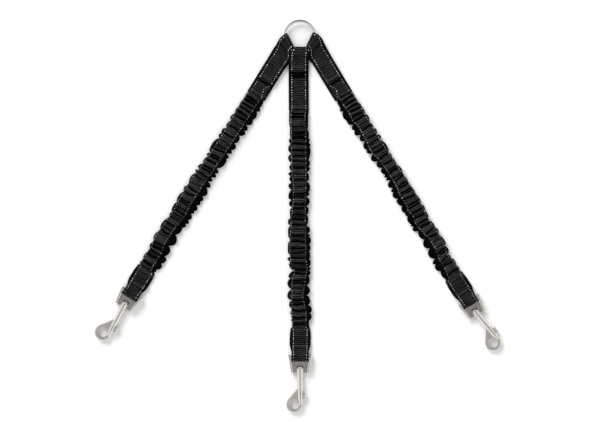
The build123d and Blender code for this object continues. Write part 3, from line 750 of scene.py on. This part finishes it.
class Sleeve:
    """The surface of one leg's gathered sleeve, as curves down the leg for each column of points."""

    def __init__(self, leg, seed):
        self.leg = leg
        self.dice = random.Random(seed)
        self.start = GATHERS_FROM - 1.0
        self.end = leg.bar_s + BAR_TO_BIGHT - GATHERS_STOP + 1.0
        valleys = [self.start + 2.0]
        while valleys[-1] < self.end - 8:
            valleys.append(valleys[-1] + self.dice.uniform(5.0, 11.0))
        back = [(place, self.dice.uniform(0.5, 1.0), self.dice.uniform(0.6, 0.9)) for place in valleys]
        self.pleats = {1: self.set_pleats(PLEATS[leg.name]), -1: self.set_pleats(back)}

    def set_pleats(self, listed):
        """Arrays of each pleat's place, valley depth, height, lean, bend, dent and crook."""
        listed = [row for row in listed if self.start < row[0] < self.end - 1]
        places = [self.start - 4] + [row[0] for row in listed] + [self.end + 2]
        depths = [0.3] + [row[1] for row in listed] + [0.3]
        tops = [0.5] + [row[2] for row in listed] + [0.5]
        lean = [self.dice.uniform(-0.7, 0.7) for _ in places]
        bend = [self.dice.uniform(-0.9, 0.9) for _ in places]
        dent = [self.dice.uniform(-0.55, 0.55) for _ in places]
        crook = [self.dice.uniform(0, 2 * math.pi) for _ in places]
        return [np.array(values) for values in (places, depths, tops, lean, bend, dent, crook)]

    def away_from_ends(self, s, reach):
        """0 at both ends of the sleeve, easing to 1 over the given reach."""
        share = np.minimum(np.clip((s - self.start) / reach, 0, 1), np.clip((self.end - s) / reach, 0, 1))
        return share * share * (3 - 2 * share)

    def full(self, s):
        """0 at both ends, where the sleeve is flat strap again, and 1 along the gathers."""
        return self.away_from_ends(s, FLATTENS)

    def middle(self, s):
        """Height of the elastic, which lifts off the table within a few pleats."""
        return mix(STRAP_THICK / 2, SLEEVE_MIDDLE, self.away_from_ends(s, SETTLES))

    def pleat(self, s, u, face):
        """Height of the pleated cloth from 0 to 1 at u across, from -1 at one seam to 1 at the other."""
        places, depths, tops, lean, bend, dent, crook = self.pleats[face]
        line = places + lean * u + bend * u * u + 0.35 * np.sin(3.1 * u + crook)
        i = np.clip(np.searchsorted(line, s) - 1, 0, len(line) - 2)
        width = line[i + 1] - line[i]
        depth = mix(depths[i], depths[i + 1], (s - line[i]) / width)
        t = np.clip((2 * (s - line[i]) / width - 1) * width / (width - 1.3 * depth), -1, 1)
        rise = np.sqrt(np.clip(1 - np.abs(t) ** np.where(width > BROAD, 3.4, 2.3), 0, 1))
        furrow = np.where(width > FURROWED, FURROW * np.exp(-(((t - dent[i]) / FURROW) ** 2)), 0.0)
        floor = tops[i] * 0.85 * (1 - depth)
        return floor + (tops[i] - floor) * rise * (1 - furrow)

    def seam(self, s, side):
        return mix(SEAM, along(SEAM_LINES[self.leg.name, side], s), self.full(s))

    def columns(self, s, face):
        """(x, z, openness) down the leg for every column of one face, from the left edge to the right."""
        full, middle = self.full(s), self.middle(s)
        bow = (1 - full) * np.array([self.leg.bow(place) for place in s])
        lines = {}
        for side in (-1, 1):
            from_strap = SEAM - drawn_in(self.leg, side, GATHERS_FROM) * (self.start + SWERVE_ENDS > s)
            lines[side] = side * mix(from_strap, self.seam(s, side), full) + bow
        flat = STRAP_THICK / 2
        margins = {}
        for side in (-1, 1):
            reach = petals(PETALS[self.leg.name, side], s)
            outer = np.maximum(reach, np.abs(lines[side]) + LEAST_MARGIN)
            edge = side * mix(STRAP_HALF, outer, full) + bow
            stood = self.pleat(s, float(side), face)
            at_seam = mix(flat, MARGIN + SEAM_RISE * stood, full)
            sink = DROOP[self.leg.name][side > 0]
            margins[side] = []
            for k in range(1, MARGIN_COLUMNS + 1):
                t = k / MARGIN_COLUMNS
                x = lines[side] + (edge - lines[side]) * t
                # Painted shade on the free edges: darker away from the seam, on the side that faces away from
                # the light, and beside low pleats.
                shade = mix(0.72, SHADED[self.leg.name][side > 0], min(t * 2.5, 1.0))
                shade = mix(1.0, shade * mix(0.55, 1.1, stood), full)
                round_off = math.sqrt(max(1 - max(t - 0.55, 0) ** 2 * 4.6, 0.05))
                out = mix(at_seam, mix(flat, MARGIN, full), min(t * 1.6, 1.0)) * round_off
                wave = 1.3 * np.sin(s / 2.3 + 3 * side + 1.7 * np.sin(s / 7.7)) * t
                margins[side].append((x, middle + full * (wave - sink * t) + face * out, shade))
        found = margins[-1][::-1]
        for k in range(FACE_COLUMNS):
            t = k / (FACE_COLUMNS - 1)
            u = 2 * t - 1
            cloth = self.pleat(s, u, face)
            swell = (1 - abs(u) ** 3.4) ** 0.5
            stands = MARGIN + SEAM_RISE * cloth + (VALLEY_RISE + PLEAT_RISE * cloth) * swell
            x = lines[-1] + (lines[1] - lines[-1]) * t
            # The pleat's height is also its openness, so its valleys get painted shade.
            found.append((x, middle + face * mix(flat, stands, full), mix(1.0, cloth, full)))
        return found + margins[1]


def sleeve_rows(sleeve):
    """Rows that are evenly spaced along the pleated cloth, not along the leg, and the cloth's length to s."""
    fine = np.arange(sleeve.start, sleeve.end, 0.05)
    front = sleeve.columns(fine, 1)
    profile = front[len(front) // 2][1]
    lengths = np.concatenate([[0.0], np.cumsum(np.hypot(np.diff(fine), np.diff(profile)))])
    marks = np.linspace(0.0, lengths[-1], int(lengths[-1] / ROW))
    places = np.interp(marks, lengths, fine)
    rib = RIB_HEIGHT * (np.cos(2 * np.pi * marks / RIB_PITCH) - 1)
    rows, cloth, folds = [[] for _ in marks], [[] for _ in marks], [[] for _ in marks]
    for face in (1, -1):
        for x, z, openness in sleeve.columns(places, face)[::face]:
            height = np.maximum(z + face * rib, LOWEST)
            for r, mark in enumerate(marks):
                rows[r].append(sleeve.leg.place(places[r], x[r], height[r], bowed=False))
                cloth[r].append((float(x[r]), float(mark)))
                folds[r].append(float(openness[r]))
    return rows, cloth, folds, fine, lengths


def sleeve_stitches(sleeve, fine, lengths):
    """Stitches along both seams, front and back, evenly spaced in the cloth and so crowded by the pleats."""
    found = []
    for face in (1, -1):
        columns = sleeve.columns(fine, face)
        seams = {-1: columns[MARGIN_COLUMNS], 1: columns[MARGIN_COLUMNS + FACE_COLUMNS - 1]}
        for side, (x, z, _) in seams.items():
            mark = 1.2 + 0.8 * side
            while mark + STITCH_LENGTH < lengths[-1]:
                ends = []
                for m in (mark, mark + STITCH_LENGTH):
                    s = float(np.interp(m, lengths, fine))
                    height = float(np.interp(s, fine, z)) - face * 0.1
                    ends.append(sleeve.leg.place(s, float(np.interp(s, fine, x)), height, bowed=False))
                found.append((ends[0], ends[1], Vector((0, 0, face))))
                mark += 1.35 * STITCH_PITCH
    return found


SEED = 40  # the back's pleats and the small leans of all pleats
sleeves = [Sleeve(leg, SEED + number) for number, leg in enumerate(legs)]


def blend_sleeve(sleeve, piece):
    """Bakes a sleeve piece's placement into its mesh."""
    ends = [sleeve.leg.place(s, 0, 2) for s in (sleeve.start + 3, sleeve.end - 3)]
    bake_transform(piece)


for sleeve in sleeves:
    name = sleeve.leg.name
    rows, cloth, folds, fine, lengths = sleeve_rows(sleeve)
    tube = skin(f"{name}_sleeve", rows, cloth, gathered, folds)
    seams = stitched(f"{name}_sleeve_seams", sleeve_stitches(sleeve, fine, lengths), thread)
    blend_sleeve(sleeve, tube)
    blend_sleeve(sleeve, seams)
    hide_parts(f"{name}_front_web", f"{name}_back_web")


# ---- Elastic bands ----
# A flat braided elastic runs inside each sleeve and is caught in the strap at both ends. It is covered all
# the way, and it pulls the sleeve up into its pleats.
BAND_HALF = 8.0
BAND_THICK = 1.2
BAND_CAUGHT = 10  # length caught in the strap at each end
BAND_RIB = 3.0  # pitch of the ribs across the band, which are 0.1 mm high
CLEAR_OF_SEAM = 0.9  # the band keeps inside the two lines of stitching
# Polyester braided over rubber strands: matt, with soft lengthwise cords about 2 mm apart.
band_look = {"Roughness": 0.8, "Base Color": colour("#1d1d1e")}
band_elastic, band_shader = new_material("braided_elastic", band_look)
band_cloth = add_node(band_elastic, "ShaderNodeUVMap", uv_map="cloth").outputs[0]
cords = {"Vector": band_cloth, "Scale": 0.45, "Distortion": 0.6}
band_braid = add_node(band_elastic, "ShaderNodeTexWave", cords, bands_direction="X").outputs[1]
relief = {"Height": band_braid, "Strength": 0.5, "Distance": 0.0003}
band_bump = add_node(band_elastic, "ShaderNodeBump", relief).outputs[0]
band_elastic.node_tree.links.new(band_bump, band_shader.inputs["Normal"])

for sleeve in sleeves:
    leg = sleeve.leg
    first, last = sleeve.start - BAND_CAUGHT, sleeve.end + BAND_CAUGHT
    rows, cloth = [], []
    for s in np.arange(first, last, 1.5):
        low, high = -sleeve.seam(s, -1), sleeve.seam(s, 1)
        half = min(BAND_HALF, (high - low) / 2 - CLEAR_OF_SEAM)
        centre = (low + high) / 2 + (1 - sleeve.full(s)) * leg.bow(s)
        xs = [float(centre + half * (2 * k / 6 - 1)) for k in range(7)]
        z = sleeve.middle(s)
        rise = BAND_THICK / 2 + 0.1 * math.cos(s * 2 * math.pi / BAND_RIB)
        top = [leg.place(s, x, z + rise, bowed=False) for x in xs]
        bottom = [leg.place(s, x, z - rise, bowed=False) for x in xs]
        rows.append(top + bottom[::-1])
        cloth.append([(x, s) for x in xs + xs[::-1]])
    band = skin(f"{leg.name}_elastic", rows, cloth, band_elastic)
    blend_sleeve(sleeve, band)
    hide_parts(f"{leg.name}_elastic_band")


# ---- Lower straps ----
# Below the gathers the webbing is flat again. It narrows between the yoke's arms, goes round the cross bar
# and is sewn back on itself, with the tail on the front.
LOWER_TAIL = 25.0
LOWER_THICKENS = 4.0  # beyond the tail's end
BAR_TO_CLOTH = 3.2
BAR_TURNS = 16  # steps round the bar
SQUEEZED = 10.5  # half width between the arms
LOWER_HALF = 13.2  # and where the sewn strap bulges below the gathers
bight = BAR_TO_CLOTH + LAYER / 2


def lower_thickness(length):
    start = 2 * LOWER_TAIL + LOWER_THICKENS
    return mix(LAYER, STRAP_THICK, ease(length, start, start + 5))


# Painted shade in the crease where the lower tail dips down onto the strap.
def lower_crease(length):
    return 0.5 * bell(length, 7.5, 1.0)


def lower_wanted(face, length):
    return face > 0 or length > 2 * LOWER_TAIL + 2


def lower_path(leg):
    """From the end of the tail, over the cross bar and round it, and back along the table to the gathers."""
    path = []
    d = LOWER_TAIL
    while d > bight:
        drop = ease(d, bight + 1.5, bight + 9.0)
        dip = -0.3 * bell(d, 17.5, 1.2)
        hem = 0.45 * ease(d, LOWER_TAIL - 4, LOWER_TAIL - 1)
        path.append((d, mix(leg.bar_z + BAR_TO_CLOTH, LAYER * 1.5, drop) + dip + hem))
        d -= ROW
    for k in range(BAR_TURNS + 1):
        angle = math.pi * k / BAR_TURNS
        path.append((bight - BAR_TO_CLOTH * math.sin(angle), leg.bar_z + BAR_TO_CLOTH * math.cos(angle)))
    d = bight + ROW
    while d < GATHERS_STOP + 2:
        path.append((d, mix(LAYER, STRAP_THICK, ease(d, LOWER_TAIL + 2, LOWER_TAIL + 7)) / 2))
        d += ROW
    return path


for leg in legs:

    def plan(d):
        width = mix(SQUEEZED, LOWER_HALF, ease(d, 9.0, 22.0))
        width = mix(width, STRAP_HALF, ease(d, 32.0, 39.0))
        return (0.0, leg.bar_s + bight - d), (0.0, -1.0), (width, 0.0)

    rows, cloth, folds, lines = strap_rows(leg, lower_path(leg), plan, lower_thickness, lower_crease)
    strap = skin(f"{leg.name}_webbing_on_bar", rows, cloth, webbing, folds)
    stitches = strap_stitches(leg, lines, lower_thickness, lower_wanted)
    seams = stitched(f"{leg.name}_bar_seams", stitches, thread)
    for piece, slot in ((strap, "webbing"), (seams, "thread")):
        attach(piece, f"{leg.name}_end")
    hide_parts(f"{leg.name}_lower_strap")


# ---- Bar tacks ----
# Each fold is locked by a bar tack, a band of close zigzag stitches in black bonded nylon thread through both
# layers of webbing, sewn across the strap.
TACKS = 15
TACK_HALF = 7.6
TACK_DEPTH = 1.3
TACK_THREAD = 0.36
TACK_SUNK = 0.45  # below the top of the node it stands for
# Bonded nylon thread: black with a faint sheen.
thread_look = {"Base Color": colour("#0d0d0e"), "Roughness": 0.5, "Sheen Weight": 0.3}
black_thread, _ = new_material("black_bonded_thread", thread_look)

for leg in legs:
    for end, body in (("upper", f"{leg.name}_loop"), ("lower", f"{leg.name}_end")):
        node = f"{leg.name}_{end}_bar_tack"
        lowest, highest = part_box(node)
        middle_s = (lowest + highest).dot(leg.down) / 2 / MM
        top = (highest.z - TABLE) / MM - TACK_SUNK
        zigzag = []
        for k in range(TACKS):
            x0 = mix(-TACK_HALF, TACK_HALF, k / TACKS)
            x1 = mix(-TACK_HALF, TACK_HALF, (k + 1) / TACKS)
            swing = TACK_DEPTH if k % 2 else -TACK_DEPTH
            start, finish = leg.place(middle_s - swing, x0, top), leg.place(middle_s + swing, x1, top)
            zigzag.append((start, finish, Vector((0, 0, 1))))
        tack = stitched(f"{leg.name}_{end}_tack_thread", zigzag, black_thread, radius=TACK_THREAD)
        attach(tack, body)
        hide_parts(node)


# ---- Bolt snaps ----
# Each snap is a cast zinc yoke and hook, tumbled and satin nickel plated, joined by a turned rivet. A steel
# bolt slides in the barrel to close the hook, with a thumb knob on its side and a wire spring behind it.
# Satin nickel plate over tumbled castings: bright, but its reflections are blurred.
satin_nickel = plated("satin_nickel_plate", base="#f0ede7", dull="#d2cec7", roughness=0.22, grain=0.35)
# Drawn spring wire: bare grey steel, duller than the plate round it.
spring_steel = plated("drawn_spring_wire", base="#9c9c9a", dull="#7e7e7c", roughness=0.3, grain=0.2)

for leg in legs:
    for part in ("swivel_yoke", "hook_body", "thumb_knob"):
        finish_node(f"{leg.name}_{part}", satin_nickel)
    for part in ("swivel_rivet", "gate_bolt"):
        finish_node(f"{leg.name}_{part}", bright_nickel)
    # The spring is shortened between the hook and the bolt; a copy of it in spring wire takes its place.
    spring = frame["nodes"][f"{leg.name}_gate_spring"]
    coil = bpy.data.objects.new(f"{leg.name}_spring_coil", spring.data.copy())
    coil.matrix_world = spring.matrix_world
    bpy.context.scene.collection.objects.link(coil)
    coil.data.materials.clear()
    coil.data.materials.append(spring_steel)
    barrel = -Vector(joints[f"{leg.name}_gate_open"]["axis"])
    axle = Vector(joints[f"{leg.name}_hook_swivel"]["pos_m"])
    reach = [(coil.matrix_world @ vertex.co - axle).dot(barrel) for vertex in coil.data.vertices]
    start, end = axle + barrel * min(reach), axle + barrel * max(reach)
    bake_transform(coil)
    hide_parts(f"{leg.name}_gate_spring")


# ---- Table, light and camera ----
# The lanyard lies on a matt white table and is seen from straight above. One broad soft light comes from
# beyond the upper left, and the white room fills the shadows.
TABLE_SIZE = 8.0
BELOW = 0.0001  # the table's top lies just under the lanyard
table_white, _ = new_material("white_table", {"Roughness": 0.85, "Base Color": colour("#f7f7f7")})
half = TABLE_SIZE / 2
middle_x, middle_y = [(a + b) / 2 for a, b in zip(*cad_box)][:2]
corners = [(middle_x + x * half, middle_y + y * half) for x, y in ((-1, -1), (1, -1), (1, 1), (-1, 1))]
table_mesh = bpy.data.meshes.new("table")
table_mesh.from_pydata([(x, y, TABLE - BELOW) for x, y in corners], [], [(0, 1, 2, 3)])
table_mesh.materials.append(table_white)
table = bpy.data.objects.new("table", table_mesh)
bpy.context.scene.collection.objects.link(table)

key_light = bpy.data.lights.new("key", "SUN")
key_light.angle = math.radians(40.0)
key_light.energy = 3.0
key = bpy.data.objects.new("key", key_light)
key.rotation_mode = "QUATERNION"
key.rotation_quaternion = Vector((0.6, -1.0, -0.7)).to_track_quat("-Z", "Y")
key.visible_glossy = False
bpy.context.scene.collection.objects.link(key)

# The room is bright at the sides and dim overhead and beyond, so polished metal shows a dark line on its top.
world = bpy.data.worlds.new("studio")
world.use_nodes = True
bpy.context.scene.world = world
background = world.node_tree.nodes["Background"]
background.inputs["Color"].default_value = (1.0, 1.0, 1.0, 1.0)
way = add_node(world, "ShaderNodeTexCoord").outputs["Generated"]
squashed = {"Vector": way, "Location": (0.0, -0.25, 0.0), "Scale": (1.0, 0.45, 0.0)}
overhead = add_node(world, "ShaderNodeMapping", squashed).outputs[0]
from_top = add_node(world, "ShaderNodeVectorMath", {0: overhead}, operation="LENGTH").outputs["Value"]
fade_range = {"Value": from_top, "From Min": 0.2, "From Max": 0.6, "To Min": 0.12, "To Max": 1.0}
fade = add_node(world, "ShaderNodeMapRange", fade_range, interpolation_type="SMOOTHSTEP").outputs[0]
world.node_tree.links.new(fade, background.inputs["Strength"])
bpy.context.scene.view_settings.view_transform = "Standard"

VIEW_WIDTH = 0.75  # the camera takes in this much of the table
VIEW_CENTRE = (0.0, -0.2175)
DISTANCE = 3.0
SENSOR = 36.0
camera = bpy.data.cameras.new("camera")
camera.sensor_width = SENSOR
camera.lens = SENSOR * (DISTANCE - TABLE) / VIEW_WIDTH
viewer = bpy.data.objects.new("camera", camera)
viewer.location = (*VIEW_CENTRE, DISTANCE)
bpy.context.scene.collection.objects.link(viewer)
bpy.context.scene.camera = viewer
